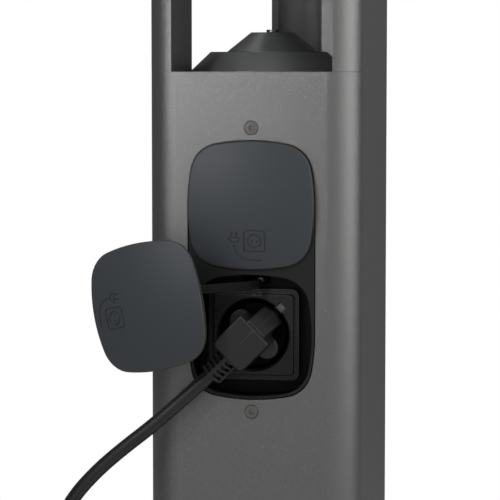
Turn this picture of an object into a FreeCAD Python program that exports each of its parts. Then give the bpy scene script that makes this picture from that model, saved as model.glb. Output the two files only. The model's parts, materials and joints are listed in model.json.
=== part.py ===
# Charging post: a rounded aluminium bollard with a lantern at its top, two earthed sockets
# behind rubber caps in its front, and a lead plugged into the lower socket.
# X is right seen from the front, Y runs into the post, Z is up. The origin is the middle of
# the post on the ground. Millimetres and degrees.
import FreeCAD, Part
import math
import os
import re
import Sketcher as Sketch
from FreeCAD import Placement, Rotation, Vector

SIZES = {
    # base
    "plate_width": 176, "plate_depth": 194, "plate_thick": 10, "plate_corner": 20,
    "anchor_across": 150, "anchor_deep": 168, "anchor_hole": 6, "cable_entry": 30,
    "spigot_wall": 4, "spigot_top": 70, "spigot_screw_up": 40, "spigot_screw_deep": 35, "base_head": 6,
    # post
    "post_width": 122, "post_depth": 140, "post_corner": 18, "wall": 3, "play": 0.3,
    "body_top": 760, "window_top": 930, "post_top": 1000, "deck_thick": 8,
    # lantern frame
    "pillar_width": 15, "pillar_depth": 57, "duct_edge": 31, "rear_edge": 11.5, "rear_thick": 8,
    "hollow_radius": 25.3, "hollow_side": 6.15, "hollow_deep": 40.7, "rod_radius": 3,
    "rod_side": 52.4, "front_rod": 40, "rear_rod": 45, "rod_reach": 14, "nut_radius": 5.2,
    # reflector
    "tier_radius": 48.5, "tier_top_radius": 36.6, "tier_rise": 11.3,
    "cone_radius": 27, "cone_top_radius": 12.8, "cone_rise": 11.4, "notch_gap": 0.6,
    # lamp
    "head_floor": 4, "lamp_hole": 43, "lens_radius": 46, "lens_thick": 4, "clamp_thick": 2,
    "board_radius": 40, "board_thick": 1.6, "sink_radius": 44, "sink_thick": 6,
    "fin_rise": 18, "fin_thick": 2, "chip_circle": 27, "chip_size": 4, "chip_thick": 0.8,
    "driver_width": 90, "driver_depth": 40, "driver_thick": 20, "cap_thick": 5,
    "seal_thick": 1, "screw_radius": 2, "cap_screw_side": 50, "cap_screw_deep": 59,
    "cap_post_radius": 6, "wire_side": 45, "wire_back": 40, "wire_hole": 5,
    # socket module
    "module_up": 648, "socket_pitch": 74, "fascia_half": 36.1, "bow": 110, "corner": 17,
    "fascia_proud": 0.4, "fascia_gap": 0.5, "recess_half": 34.4, "recess_deep": 13,
    "fascia_deep": 15, "flange_width": 86, "flange_height": 190, "flange_thick": 4,
    "module_screw_up": 80.5, "screw_head": 3.75, "head_deep": 2.2, "boss_radius": 5,
    "box_width": 84, "box_height": 176, "box_deep": 62, "box_wall": 2.5,
    "slot_side": 0.3, "slot_up": 31.2, "slot_width": 16.6, "slot_height": 4.4,
    # socket
    "frame_size": 52, "frame_deep": 4, "face_size": 47, "face_deep": 6, "face_step": 2, "face_round": 1.2,
    "pot_radius": 20.2, "pot_flare": 1.2, "centre_screw_long": 11,
    "pot_deep": 17.5, "pot_wall": 21.7, "block_size": 40, "block_deep": 22,
    "pin_gap": 19, "sleeve_bore": 2.46, "sleeve_radius": 3.2, "sleeve_long": 17,
    "clip_width": 4.4, "clip_thick": 0.8, "clip_circle": 19.3, "clip_back": 4.5,
    # caps
    "cap_half": 36.2, "cap_gap": 0.3, "cap_dome": 7, "dome_radius": 165,
    "lip_half": 33.2, "lip_thick": 1.4, "lip_deep": 5, "bead_half": 34, "bead_high": 1.6,
    "strap_width": 6, "strap_thick": 2, "strap_long": 40, "tail_drop": 0.9,
    "bulb_radius": 2.6, "rivet_radius": 1.5,
    # open cap: its middle, how far it is turned and how far it is tipped
    "open_side": -53.8, "open_out": -94, "open_up": 629, "open_turn": 78, "open_tip": 20,
    "anchor_side": 3.8, "anchor_up": 31,
    # plug, its lead and the far connector
    "plug_radius": 18.4, "disc_deep": 4.5, "neck_radius": 11, "prong_radius": 2.4, "prong_long": 19,
    "knob_radius": 6.4, "knob_side": 10.8, "carrier_bar": 4, "seam_width": 0.5, "seam_high": 0.2,
    "grip_half": 11.3, "grip_top": 8.4, "grip_bottom": 14.2, "grip_front": 29.5, "grip_back": 7,
    "bridge_half": 6.7, "bridge_front": 26.5, "bridge_end": 4,
    "relief_start": 14.2, "relief_long": 15.6, "relief_radius": 6.8, "relief_end": 4.3, "plug_out": 17,
    "rib_pitch": 3.3, "rib_thick": 1.7, "rib_gap": 0.7, "spine_width": 2.2, "link_thick": 1,
    "lead_radius": 4, "coil_side": -172, "coil_back": -42, "coil_middle": 41,
    "coil_width": 16, "coil_height": 15,
    "outlet_width": 27, "outlet_height": 20, "outlet_long": 40, "outlet_boot": 6.6,
    "outlet_boot_long": 16,
}

doc = FreeCAD.newDocument("ChargingPost")
sheet = doc.addObject("Spreadsheet::Sheet", "Sizes")
for line, (alias, amount) in enumerate(SIZES.items(), start=1):
    sheet.set(f"A{line}", alias)
    sheet.set(f"B{line}", str(amount))
    sheet.setAlias(f"B{line}", alias)
doc.recompute()

ALONG = {"x": Rotation(Vector(0, 1, 0), 90), "y": Rotation(Vector(1, 0, 0), -90), "z": Rotation()}
NODES = []


# ---------------------------------------------------------------- helpers
def cells(words):
    """An expression in plain words becomes one that reads the sheet."""
    return re.sub(r"[a-z]+(_[a-z]+)*", lambda found: "Sizes." + found.group(0), str(words))


def bind(thing, prop, words):
    thing.setExpression(prop, cells(words))


def number(words):
    return float(sheet.evalExpression(cells(words)))


def node(thing, name):
    """Gives the finished sub-part the name of its node."""
    thing.Label = name
    NODES.append(thing)
    return thing


def box(name, x, y, z):
    """A block between pairs of expressions, the low side and the high side of each axis."""
    block = doc.addObject("Part::Box", name)
    for prop, axis, (low, high) in zip(("Length", "Width", "Height"), "xyz", (x, y, z)):
        bind(block, prop, f"({high}) - ({low})")
        bind(block, f"Placement.Base.{axis}", low)
    return block


def turned(name, kind, along, x, y, z, **radii):
    """A cylinder, cone or prism that starts at a point and runs along an axis."""
    solid = doc.addObject(f"Part::{kind}", name)
    solid.Placement = Placement(Vector(), ALONG[along])
    for prop, words in radii.items():
        bind(solid, prop, words)
    for axis, words in zip("xyz", (x, y, z)):
        bind(solid, f"Placement.Base.{axis}", words)
    return solid


def cylinder(name, along, x, y, z, radius, height):
    return turned(name, "Cylinder", along, x, y, z, Radius=radius, Height=height)


def cone(name, along, x, y, z, start, end, height):
    return turned(name, "Cone", along, x, y, z, Radius1=start, Radius2=end, Height=height)


def joined(name, *parts):
    union = doc.addObject("Part::MultiFuse", name)
    union.Shapes = list(parts)
    return union


def shared(name, *parts):
    common = doc.addObject("Part::MultiCommon", name)
    common.Shapes = list(parts)
    return common


def less(name, base, *tools):
    """The base with every tool taken out of it."""
    result = doc.addObject("Part::Cut", name)
    result.Base = base
    result.Tool = tools[0] if len(tools) == 1 else joined(name + "_tools", *tools)
    return result


def group(name, *parts):
    """Separate solids of one kind that share a node."""
    bundle = doc.addObject("Part::Compound", name)
    bundle.Links = list(parts)
    return bundle


def feature(name, shape, placement=None):
    """A sub-part whose shape is made by the functions below, from sizes read off the sheet."""
    thing = doc.addObject("Part::Feature", name)
    thing.Shape = shape
    if placement is not None:
        thing.Placement = placement
    return thing


def outline(drawing, half_x, half_y, radius):
    """A rounded rectangle about the sketch's origin, fully constrained to the sheet."""
    a, b, r = number(half_x), number(half_y), number(radius)
    first = drawing.GeometryCount
    corners = ((a - r, r - b, 270), (a - r, b - r, 0), (r - a, b - r, 90), (r - a, r - b, 180))
    ends = ((r - a, -b), (a, r - b), (a - r, b), (-a, b - r))
    stops = ((a - r, -b), (a, b - r), (r - a, b), (-a, r - b))
    for (cx, cy, start), begin, stop in zip(corners, ends, stops):
        drawing.addGeometry(Part.LineSegment(Vector(*begin, 0), Vector(*stop, 0)))
        circle = Part.Circle(Vector(cx, cy, 0), Vector(0, 0, 1), r)
        drawing.addGeometry(Part.ArcOfCircle(circle, math.radians(start), math.radians(start + 90)))
    for step in range(8):
        here, after = first + step, first + (step + 1) % 8
        drawing.addConstraint(Sketch.Constraint("Tangent", here, 2, after, 1))
    for side, word in zip(range(0, 8, 2), ("Horizontal", "Vertical", "Horizontal", "Vertical")):
        drawing.addConstraint(Sketch.Constraint(word, first + side))
    for arc in (3, 5, 7):
        drawing.addConstraint(Sketch.Constraint("Equal", first + 1, first + arc))
    limits = (("Radius", (first + 1,), r, radius),
              ("DistanceY", (-1, 1, first, 1), -b, f"-({half_y})"),
              ("DistanceX", (-1, 1, first + 2, 1), a, half_x),
              ("DistanceY", (-1, 1, first + 4, 1), b, half_y),
              ("DistanceX", (-1, 1, first + 6, 1), -a, f"-({half_x})"))
    for word, where, amount, words in limits:
        index = drawing.addConstraint(Sketch.Constraint(word, *where, amount))
        bind(drawing, f"Constraints[{index}]", words)


def round_hole(drawing, x, y, radius):
    """A circle at a point of the sketch, bound to the sheet."""
    circle = Part.Circle(Vector(number(x), number(y), 0), Vector(0, 0, 1), number(radius))
    at = drawing.addGeometry(circle)
    for word, where, words in (("DistanceX", (-1, 1, at, 3), x), ("DistanceY", (-1, 1, at, 3), y),
                               ("Radius", (at,), radius)):
        index = drawing.addConstraint(Sketch.Constraint(word, *where, number(words)))
        bind(drawing, f"Constraints[{index}]", words)


def sketch(body, role, lift):
    """A sketch on one of the body's own origin planes, lifted off it along its normal."""
    drawing = body.newObject("Sketcher::SketchObject", body.Name + "_drawing")
    plane = next(item for item in body.Origin.OriginFeatures if item.Role == role)
    drawing.AttachmentSupport = [(plane, "")]
    drawing.MapMode = "FlatFace"
    bind(drawing, "AttachmentOffset.Base.z", lift)
    return drawing


def prism(name, outlines, z, holes=()):
    """A body padded upwards from nested rounded rectangles, with round holes through it."""
    body = doc.addObject("PartDesign::Body", name)
    drawing = sketch(body, "XY_Plane", z[0])
    for half_x, half_y, radius in outlines:
        outline(drawing, half_x, half_y, radius)
    for hole in holes:
        round_hole(drawing, *hole)
    pad = body.newObject("PartDesign::Pad", name + "_pad")
    pad.Profile = drawing
    bind(pad, "Length", f"({z[1]}) - ({z[0]})")
    body.Tip = pad
    return body


def break_edge(body, kind, prop, top, words):
    """Chamfers or rounds the outer edges of a padded body's top face."""
    doc.recompute()
    base, limits = body.Tip, body.Shape.BoundBox

    def outermost(side):
        return (side.ZMin > number(top) - 0.1 and
                (side.XMax > limits.XMax - 0.1 or side.XMin < limits.XMin + 0.1 or
                 side.YMax > limits.YMax - 0.1 or side.YMin < limits.YMin + 0.1))

    edges = enumerate(body.Shape.Edges, start=1)
    rim = [f"Edge{count}" for count, line in edges if outermost(line.BoundBox)]
    edge = body.newObject(f"PartDesign::{kind}", f"{body.Name}_edge")
    edge.Base = (base, rim)
    bind(edge, prop, words)
    body.Tip = edge


def post_outline(inset="0"):
    return (f"post_width/2 - ({inset})", f"post_depth/2 - ({inset})", f"post_corner - ({inset})")


# ---------------------------------------------------------------- shapes with bowed sides
def half_outline(half, y, lift, turn):
    """Five arcs over the top, from the right flank to the left one; turn brings the lower half."""
    bow, corner = number("bow"), number("corner")
    reach = bow - half
    off = (math.sqrt(2 * (bow - corner) ** 2 - reach ** 2) - reach) / 2
    side, middle = Vector(half - bow, 0, 0), Vector(off, 0, off)
    touch = side + (middle - side).normalize() * bow
    lean = math.asin(touch.z / bow) / 2
    diagonal = corner * math.sqrt(0.5)
    flank = (side.x + bow * math.cos(lean), bow * math.sin(lean))
    right = [(half, 0), flank, (touch.x, touch.z), (off + diagonal, off + diagonal),
             (touch.z, touch.x)]
    left = [(-x, z) for x, z in reversed(right)]
    spots = [Vector(turn * x, y, turn * (z + lift)) for x, z in right + [(0, half)] + left]
    return [Part.Arc(*spots[step:step + 3]).toShape() for step in range(0, 10, 2)], spots


def bowed_prism(half, y, deep, stretch=0):
    """A prism along Y with four bowed sides; stretch parts its halves by straight flanks."""
    upper, above = half_outline(half, y, stretch / 2, 1)
    lower, below = half_outline(half, y, stretch / 2, -1)
    edges = upper + lower
    if stretch:
        edges += [Part.makeLine(above[-1], below[0]), Part.makeLine(below[-1], above[0])]
    wire = Part.Wire(Part.__sortEdges__(edges))
    return Part.Face(wire).extrude(Vector(0, deep, 0))


def at(x=0, y=0, z=0, turn=0):
    """A place, turned about the Y direction."""
    return Placement(Vector(x, y, z), Rotation(Vector(0, 1, 0), turn))


def block(x, y, z):
    low, high = zip(x, y, z)
    sides = [top - bottom for bottom, top in zip(low, high)]
    return Part.makeBox(*sides, Vector(*low))


def rod(radius, start, end):
    return Part.makeCylinder(radius, (end - start).Length, start, end - start)


def rounded(shape, radius, chosen):
    """The shape with those of its edges rounded whose middle passes the test."""
    picked = [edge for edge in shape.Edges if chosen(edge.CenterOfMass, edge)]
    return shape.makeFillet(radius, picked)


def tube(name, points, radius):
    """A cord laid along straight runs joined by tangent arcs as large as the runs allow."""
    spots = [Vector(*point) for point in points]
    edges, radii, start = [], [], spots[0]
    for before, here, after in zip(spots, spots[1:], spots[2:]):
        back, on = before - here, after - here
        turn = math.pi - back.getAngle(on)
        cut = 0.45 * min(back.Length, on.Length)
        arc_radius = cut / math.tan(turn / 2)
        enter = here + back.normalize() * cut
        leave = here + on.normalize() * cut
        centre = here + (back + on).normalize() * (arc_radius / math.cos(turn / 2))
        summit = centre + (here - centre).normalize() * arc_radius
        edges += [Part.LineSegment(start, enter).toShape(), Part.Arc(enter, summit, leave).toShape()]
        radii.append(round(arc_radius))
        start = leave
    edges.append(Part.LineSegment(start, spots[-1]).toShape())
    path = Part.Wire(edges)
    ring = Part.Wire(Part.Circle(spots[0], spots[1] - spots[0], radius).toShape())
    solid = path.makePipeShell([ring], True, False)
    wanted = math.pi * radius ** 2 * path.Length
    print(name, "length", round(path.Length), "radii", radii, "volume", round(solid.Volume / wanted, 4))
    return solid


# ---------------------------------------------------------------- base
def make_base():
    across, deep = "anchor_across/2", "anchor_deep/2"
    holes = [(f"{side}{across}", f"{end}{deep}", "anchor_hole") for side in ("", "-") for end in ("", "-")]
    holes.append(("0", "0", "cable_entry"))
    plate = prism("plate", [("plate_width/2", "plate_depth/2", "plate_corner")],
                  ("0", "plate_thick"), holes)
    break_edge(plate, "Chamfer", "Size", "plate_thick", "2")
    node(plate, "base_plate")

    outer, inner = post_outline("wall + play"), post_outline("wall + play + spigot_wall")
    spigot = prism("spigot", [outer, inner], ("plate_thick", "spigot_top"))
    holes, screws, sinks = [], [], []
    thin, reach = "screw_radius + 1", "post_width/2 - wall - play - spigot_wall - 3"
    sides = (("left", "-post_width/2", "-post_width/2 + 1", "-post_width/2", "-post_width/2"),
             ("right", "post_width/2 - wall", reach, reach, "post_width/2 - 1"))
    for side, cone_start, shank_start, hole_start, drive_start in sides:
        for end, y in (("front", "-spigot_screw_deep"), ("rear", "spigot_screw_deep")):
            tag, z = f"{side}_{end}", "spigot_screw_up"
            wide = (("head", "base_head", thin), ("sink", "base_head + 0.2", f"{thin} + 0.2"))
            tapers = [cone(f"{kind}_{tag}", "x", cone_start, y, z,
                           *((outer, inner) if side == "left" else (inner, outer)), "wall")
                      for kind, outer, inner in wide]
            shank = cylinder(f"shank_{tag}", "x", shank_start, y, z, thin, "wall + play + spigot_wall + 2")
            drive = turned(f"drive_{tag}", "Prism", "x", drive_start, y, z, Circumradius="2.3", Height="1")
            screws.append(less(f"screw_{tag}", joined(f"blank_{tag}", tapers[0], shank), drive))
            sinks.append(tapers[1])
            holes.append(cylinder(f"hole_{tag}", "x", hole_start if side == "right" else shank_start, y, z,
                                  f"{thin} + 0.1", "wall + play + spigot_wall + 3"))
    node(less("spigot_drilled", spigot, *holes), "base_spigot")
    node(group("spigot_screws", *screws), "base_fixing_screws")
    return sinks, holes


def module_place():
    return at(0, number("-post_depth/2"), number("module_up"))


# ---------------------------------------------------------------- post body
def make_post(sinks, holes):
    shell = prism("shell", [post_outline(), post_outline("wall")], ("plate_thick", "body_top"))
    opening = feature("opening", bowed_prism(number("fascia_half + fascia_gap"), -1,
                                             number("wall + 2"), number("socket_pitch")), module_place())
    front = []
    for tag, sign in (("upper", "+"), ("lower", "-")):
        z = f"module_up {sign} module_screw_up"
        front.append(cone(f"front_sink_{tag}", "y", "0", "-post_depth/2", z, "screw_head + 0.4",
                          "screw_radius + 0.3", "head_deep"))
        front.append(cylinder(f"front_hole_{tag}", "y", "0", "-post_depth/2", z,
                              "screw_radius + 0.2", "wall + 1"))
    rear = []
    for tag, sign in (("left", "-"), ("right", "")):
        rear.append(cylinder(f"deck_hole_{tag}", "y", f"{sign}35", "post_depth/2 - wall - 1",
                             "body_top - deck_thick/2", "screw_radius + 0.1", "wall + 2"))
    node(less("post_tube", shell, opening, *sinks, *holes, *front, *rear), "post_body")


# ---------------------------------------------------------------- lantern frame
def make_lantern():
    rods = (("left", "-rod_side", "-front_rod"), ("right", "rod_side", "-front_rod"),
            ("rear", "rod_side", "rear_rod"))
    deck = prism("deck", [post_outline("wall + play")], ("body_top - deck_thick", "body_top"),
                 [(x, y, "rod_radius + 0.1") for tag, x, y in rods]
                  + [("wire_side", "wire_back", "wire_hole")])
    taps, screws = [], []
    for tag, sign in (("left", "-"), ("right", "")):
        taps.append(cylinder(f"deck_tap_{tag}", "y", f"{sign}35", "post_depth/2 - wall - play - 12",
                             "body_top - deck_thick/2", "screw_radius + 0.1", "14"))
        shank = cylinder(f"deck_shank_{tag}", "y", f"{sign}35", "post_depth/2 - wall - play - 10",
                         "body_top - deck_thick/2", "screw_radius", "wall + play + 10")
        head = cylinder(f"deck_head_{tag}", "y", f"{sign}35", "post_depth/2", "body_top - deck_thick/2",
                        "screw_head", "1.8")
        drive = turned(f"deck_drive_{tag}", "Prism", "y", f"{sign}35", "post_depth/2 + 0.8",
                       "body_top - deck_thick/2", Circumradius="1.6", Height="2")
        screws.append(less(f"deck_screw_{tag}", joined(f"deck_blank_{tag}", shank, head), drive))
    node(less("deck_drilled", deck, *taps), "lantern_deck")
    node(group("deck_fixings", *screws), "deck_screws")

    window = ("body_top", "window_top")
    outer = prism("window_outer", [post_outline()], window)
    inner = prism("window_inner", [post_outline("wall")], window)
    front = "-post_depth/2"
    pillar = shared("pillar_outer", outer,
                    box("pillar_block", ("-post_width/2", "-post_width/2 + pillar_width"),
                        (front, f"{front} + pillar_depth"), window))
    core = shared("pillar_core", inner,
                  box("core_block", ("-post_width/2 + wall", "-post_width/2 + pillar_width - wall"),
                      (f"{front} + wall", f"{front} + pillar_depth - wall"), window))
    node(less("pillar", pillar, core), "front_left_pillar")

    right, rear = "post_width/2", "post_depth/2"
    walls = joined("spine_blocks",
                   box("spine_front", (f"{right} - pillar_width", right), (front, rear), window),
                   box("spine_duct", ("duct_edge", right), (f"{front} + pillar_depth", rear), window),
                   box("spine_rear", ("-rear_edge", right), (f"{rear} - rear_thick", rear), window))
    hollow = joined("spine_hollows",
                    box("hollow_front", (f"{right} - pillar_width + wall", right), (front, rear), window),
                    box("hollow_duct", ("duct_edge + wall", right),
                        (f"{front} + pillar_depth + wall", rear), window))
    groove = cylinder("spine_groove", "z", "hollow_side", "hollow_deep", "body_top", "hollow_radius",
                      "window_top - body_top")
    core = shared("spine_core", inner, hollow)
    node(less("spine_cut", shared("spine_outer", outer, walls), core, groove), "lantern_spine")

    ties, nuts = [], []
    for tag, x, y in rods:
        ties.append(cylinder(f"tie_{tag}", "z", x, y, "body_top - deck_thick - 6", "rod_radius",
                             "window_top - body_top + deck_thick + rod_reach"))
        for end, z in (("top", "window_top + head_floor"), ("foot", "body_top - deck_thick - 5")):
            nut = turned(f"nut_{tag}_{end}", "Prism", "z", x, y, z, Circumradius="nut_radius", Height="5")
            bore = cylinder(f"bore_{tag}_{end}", "z", x, y, z, "rod_radius + 0.02", "5")
            nuts.append(less(f"ring_{tag}_{end}", nut, bore))
    node(group("ties", *ties), "tie_rods")
    node(group("nuts", *nuts), "tie_rod_nuts")

    # the stepped reflector is notched round the spine
    notches = [box("notch_side", (f"{right} - pillar_width - notch_gap", right), (front, rear), window),
               box("notch_duct", ("duct_edge - notch_gap", right),
                   (f"{front} + pillar_depth - notch_gap", rear), window),
               box("notch_left", ("-post_width/2", "-post_width/2 + pillar_width + notch_gap"),
                   (front, f"{front} + pillar_depth + notch_gap"), window)]
    tier = cone("tier", "z", "0", "0", "body_top", "tier_radius", "tier_top_radius", "tier_rise")
    bore = cylinder("tier_bore", "z", "0", "0", "body_top", "screw_radius + 0.1", "tier_rise")
    node(less("tier_notched", tier, *notches, bore), "reflector_base")
    seat_up = "body_top + tier_rise"
    upper = cone("upper_cone", "z", "0", "0", seat_up, "cone_radius", "cone_top_radius", "cone_rise")
    seat = cylinder("cone_bore", "z", "0", "0", seat_up, "screw_radius + 0.1", "cone_rise")
    node(less("cone_bored", upper, seat), "reflector_cone")
    top = "body_top + tier_rise + cone_rise"
    shank = cylinder("reflector_shank", "z", "0", "0", "body_top", "screw_radius", f"({top}) - body_top")
    head = cylinder("reflector_head", "z", "0", "0", top, "screw_head", "1.6")
    node(joined("reflector_screw_whole", shank, head), "reflector_screw")


# ---------------------------------------------------------------- lamp head
def make_head():
    rods = (("-rod_side", "-front_rod"), ("rod_side", "-front_rod"), ("rod_side", "rear_rod"))
    rim = "post_top - cap_thick - seal_thick"
    sleeve = prism("sleeve", [post_outline(), post_outline("wall")], ("window_top", rim))
    floor = prism("floor", [post_outline("wall - 0.5")], ("window_top", "window_top + head_floor"),
                  [(x, y, "rod_radius + 0.1") for x, y in rods]
                  + [("0", "0", "lamp_hole"), ("wire_side", "wire_back", "wire_hole")])
    spots = [(f"{x}cap_screw_side", f"{y}cap_screw_deep") for x in ("", "-") for y in ("", "-")]
    posts, taps = [], []
    for count, (x, y) in enumerate(spots):
        posts.append(cylinder(f"cap_post_{count}", "z", x, y, f"{rim} - 22", "cap_post_radius", "22"))
        taps.append(cylinder(f"cap_tap_{count}", "z", x, y, f"{rim} - 14", "screw_radius + 0.05", "16"))
    node(less("housing", joined("housing_blank", sleeve, floor, *posts), *taps), "head_housing")

    seal = prism("head_seal", [post_outline("0.6"), post_outline("wall + 1")], (rim, f"{rim} + seal_thick"))
    node(seal, "head_gasket")
    lid = prism("lid", [post_outline()], ("post_top - cap_thick", "post_top"),
                [(x, y, "screw_radius + 0.1") for x, y in spots])
    break_edge(lid, "Fillet", "Radius", "post_top", "2")
    node(lid, "head_cap")
    screws = []
    for count, (x, y) in enumerate(spots):
        shank = cylinder(f"cap_shank_{count}", "z", x, y, f"{rim} - 12",
                         "screw_radius", "cap_thick + seal_thick + 12")
        head = cylinder(f"cap_head_{count}", "z", x, y, "post_top", "screw_head", "2")
        drive = turned(f"cap_drive_{count}", "Prism", "z", x, y, "post_top + 0.8",
                       Circumradius="1.6", Height="2")
        screws.append(less(f"cap_screw_{count}", joined(f"cap_blank_{count}", shank, head), drive))
    node(group("cap_fixings", *screws), "cap_screws")

    shelf = "window_top + head_floor"
    flange = cylinder("lens_flange", "z", "0", "0", shelf, "lens_radius", "lens_thick")
    boss = cylinder("lens_boss", "z", "0", "0", "window_top + 0.5", "lamp_hole - 0.4", "head_floor")
    node(joined("lens_whole", flange, boss), "lamp_lens")
    ring = cylinder("ring_outer", "z", "0", "0", f"{shelf} + lens_thick", "lens_radius + 6", "clamp_thick")
    bore = cylinder("ring_bore", "z", "0", "0", f"{shelf} + lens_thick", "lens_radius - 5", "clamp_thick")
    clamp = (f"{shelf} + lens_thick", f"{shelf} + lens_thick + clamp_thick")
    flats = [box("ring_flat_left", ("-60", "-rod_side + nut_radius + 1"), ("-60", "60"), clamp),
             box("ring_flat_right", ("rod_side - nut_radius - 1", "60"), ("-60", "60"), clamp)]
    node(less("ring_cut", ring, bore, *flats), "lens_clamp_ring")

    board = f"{shelf} + lens_thick + clamp_thick + 1"
    plate = cylinder("board_disc", "z", "0", "0", board, "board_radius", "board_thick")
    node(plate, "led_board")
    chips = []
    for count in range(12):
        angle = math.radians(30 * count)
        x, y = f"chip_circle*{math.cos(angle):.4f}", f"chip_circle*{math.sin(angle):.4f}"
        chips.append(box(f"chip_{count}", (f"{x} - chip_size/2", f"{x} + chip_size/2"),
                         (f"{y} - chip_size/2", f"{y} + chip_size/2"), (f"{board} - chip_thick", board)))
    node(group("chips", *chips), "led_chips")
    sink_floor = f"{board} + board_thick"
    disc = cylinder("sink_disc", "z", "0", "0", sink_floor, "sink_radius", "sink_thick")
    fin_up = (f"{sink_floor} + sink_thick - 0.5", f"{sink_floor} + sink_thick + fin_rise - 4")
    fins = [box(f"fin_{middle}", (f"{middle} - fin_thick/2", f"{middle} + fin_thick/2"),
                ("-24", "24"), fin_up)
            for middle in range(-35, 36, 7)]
    node(joined("sink_whole", disc, *fins), "led_heatsink")
    driver_floor = f"{sink_floor} + sink_thick + fin_rise - 3.5"
    driver = box("driver_case", ("-driver_width/2", "driver_width/2"), ("-driver_depth/2", "driver_depth/2"),
                 (driver_floor, f"{driver_floor} + driver_thick"))
    node(driver, "led_driver")


# ---------------------------------------------------------------- socket module
def slot_cutter(deep, margin=0):
    """The slot that a strap's tail runs through, over the socket's frame."""
    half = number("slot_width/2") - margin
    side, up, high = number("slot_side"), number("slot_up"), number("slot_height/2") - margin
    return block((side - half, side + half), deep, (up - high, up + high))


def make_module():
    pitch, proud = number("socket_pitch"), number("fascia_proud")
    deep = number("fascia_deep")
    shape = bowed_prism(number("fascia_half"), -proud, deep + proud, pitch)
    back = number("wall + seal_thick")
    side, high = number("flange_width/2"), number("flange_height/2")
    flange = block((-side, side), (back, back + number("flange_thick")), (-high, high))
    flange = rounded(flange, 12, lambda middle, edge: edge.BoundBox.YLength > 1 and edge.Length < 10)
    shape = shape.fuse(flange)
    reach = number("recess_deep")
    for sign in (1, -1):
        lift = Vector(0, 0, sign * pitch / 2)
        recess = bowed_prism(number("recess_half"), -proud - 1, reach + proud + 1)
        recess.translate(lift)
        pot = rod(number("pot_wall + 0.3"), Vector(0, reach - 1, 0) + lift, Vector(0, deep + 1, 0) + lift)
        slot = slot_cutter((reach - 1, deep + 1))
        slot.translate(lift)
        up = sign * number("module_screw_up")
        boss = rod(number("boss_radius"), Vector(0, back, up), Vector(0, back + 12, up))
        bore = rod(number("screw_radius + 1.3"), Vector(0, back - 1, up), Vector(0, back + 13, up))
        shape = shape.fuse(boss).cut(recess).cut(pot).cut(slot).cut(bore)
    shape = shape.removeSplitter()
    front = shape.BoundBox.YMin
    rim = [edge for edge in shape.Edges if abs(edge.BoundBox.YMin - front) < 0.01
           and abs(edge.BoundBox.YMax - front) < 0.01]
    shape = shape.makeFillet(0.7, rim)
    node(feature("fascia", shape, module_place()), "socket_fascia")

    seal = block((2 - side, side - 2), (number("wall"), back), (2 - high, high - 2))
    hole = bowed_prism(number("fascia_half + 1"), 0, back + 1, pitch)
    seal = seal.cut(hole)
    inserts, screws = [], []
    for sign in (1, -1):
        z = sign * number("module_screw_up")
        radius, head, sunk = number("screw_radius"), number("screw_head"), number("head_deep")
        seal = seal.cut(rod(radius + 0.3, Vector(0, 0, z), Vector(0, 10, z)))
        brass = rod(radius + 1.3, Vector(0, back, z), Vector(0, back + 11, z))
        inserts.append(brass.cut(rod(radius + 0.02, Vector(0, 0, z), Vector(0, 30, z))))
        dish = Part.makeCone(head, radius, sunk, Vector(0, 0.05, z), Vector(0, 1, 0))
        screw = dish.fuse(rod(radius, Vector(0, sunk, z), Vector(0, 16, z)))
        socket = Part.makePolygon([Vector(1.55 * math.cos(a), 0, z + 1.55 * math.sin(a))
                                   for a in (math.pi / 3 * step for step in range(7))])
        screws.append(screw.cut(Part.Face(socket).extrude(Vector(0, 1.5, 0))))
    node(feature("module_seal", seal, module_place()), "fascia_gasket")
    node(feature("brass_inserts", Part.makeCompound(inserts), module_place()), "threaded_inserts")
    node(feature("front_screws", Part.makeCompound(screws), module_place()), "fascia_screws")

    start = back + number("flange_thick")
    wide, high, wall = number("box_width/2"), number("box_height/2"), number("box_wall")
    far = number("box_deep")
    case = block((-wide, wide), (start, far), (-high, high))
    case = rounded(case, 8, lambda middle, edge: edge.BoundBox.YLength > 20)
    inside = block((wall - wide, wide - wall), (start - 1, far - wall), (wall - high, high - wall))
    case = case.cut(rounded(inside, 6, lambda middle, edge: edge.BoundBox.YLength > 20))
    case = case.cut(rod(6, Vector(0, far - 15, -high - 1), Vector(0, far - 15, wall - high + 1)))
    node(feature("module_case", case, module_place()), "module_rear_box")
    gland = rod(5.8, Vector(0, far - 15, -high - 6), Vector(0, far - 15, 4 - high))
    gland = gland.fuse(rod(9, Vector(0, far - 15, -high - 9), Vector(0, far - 15, -high)))
    gland = gland.cut(rod(3.6, Vector(0, far - 15, -high - 10), Vector(0, far - 15, 5 - high)))
    node(feature("module_gland", gland, module_place()), "module_cable_gland")


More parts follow.
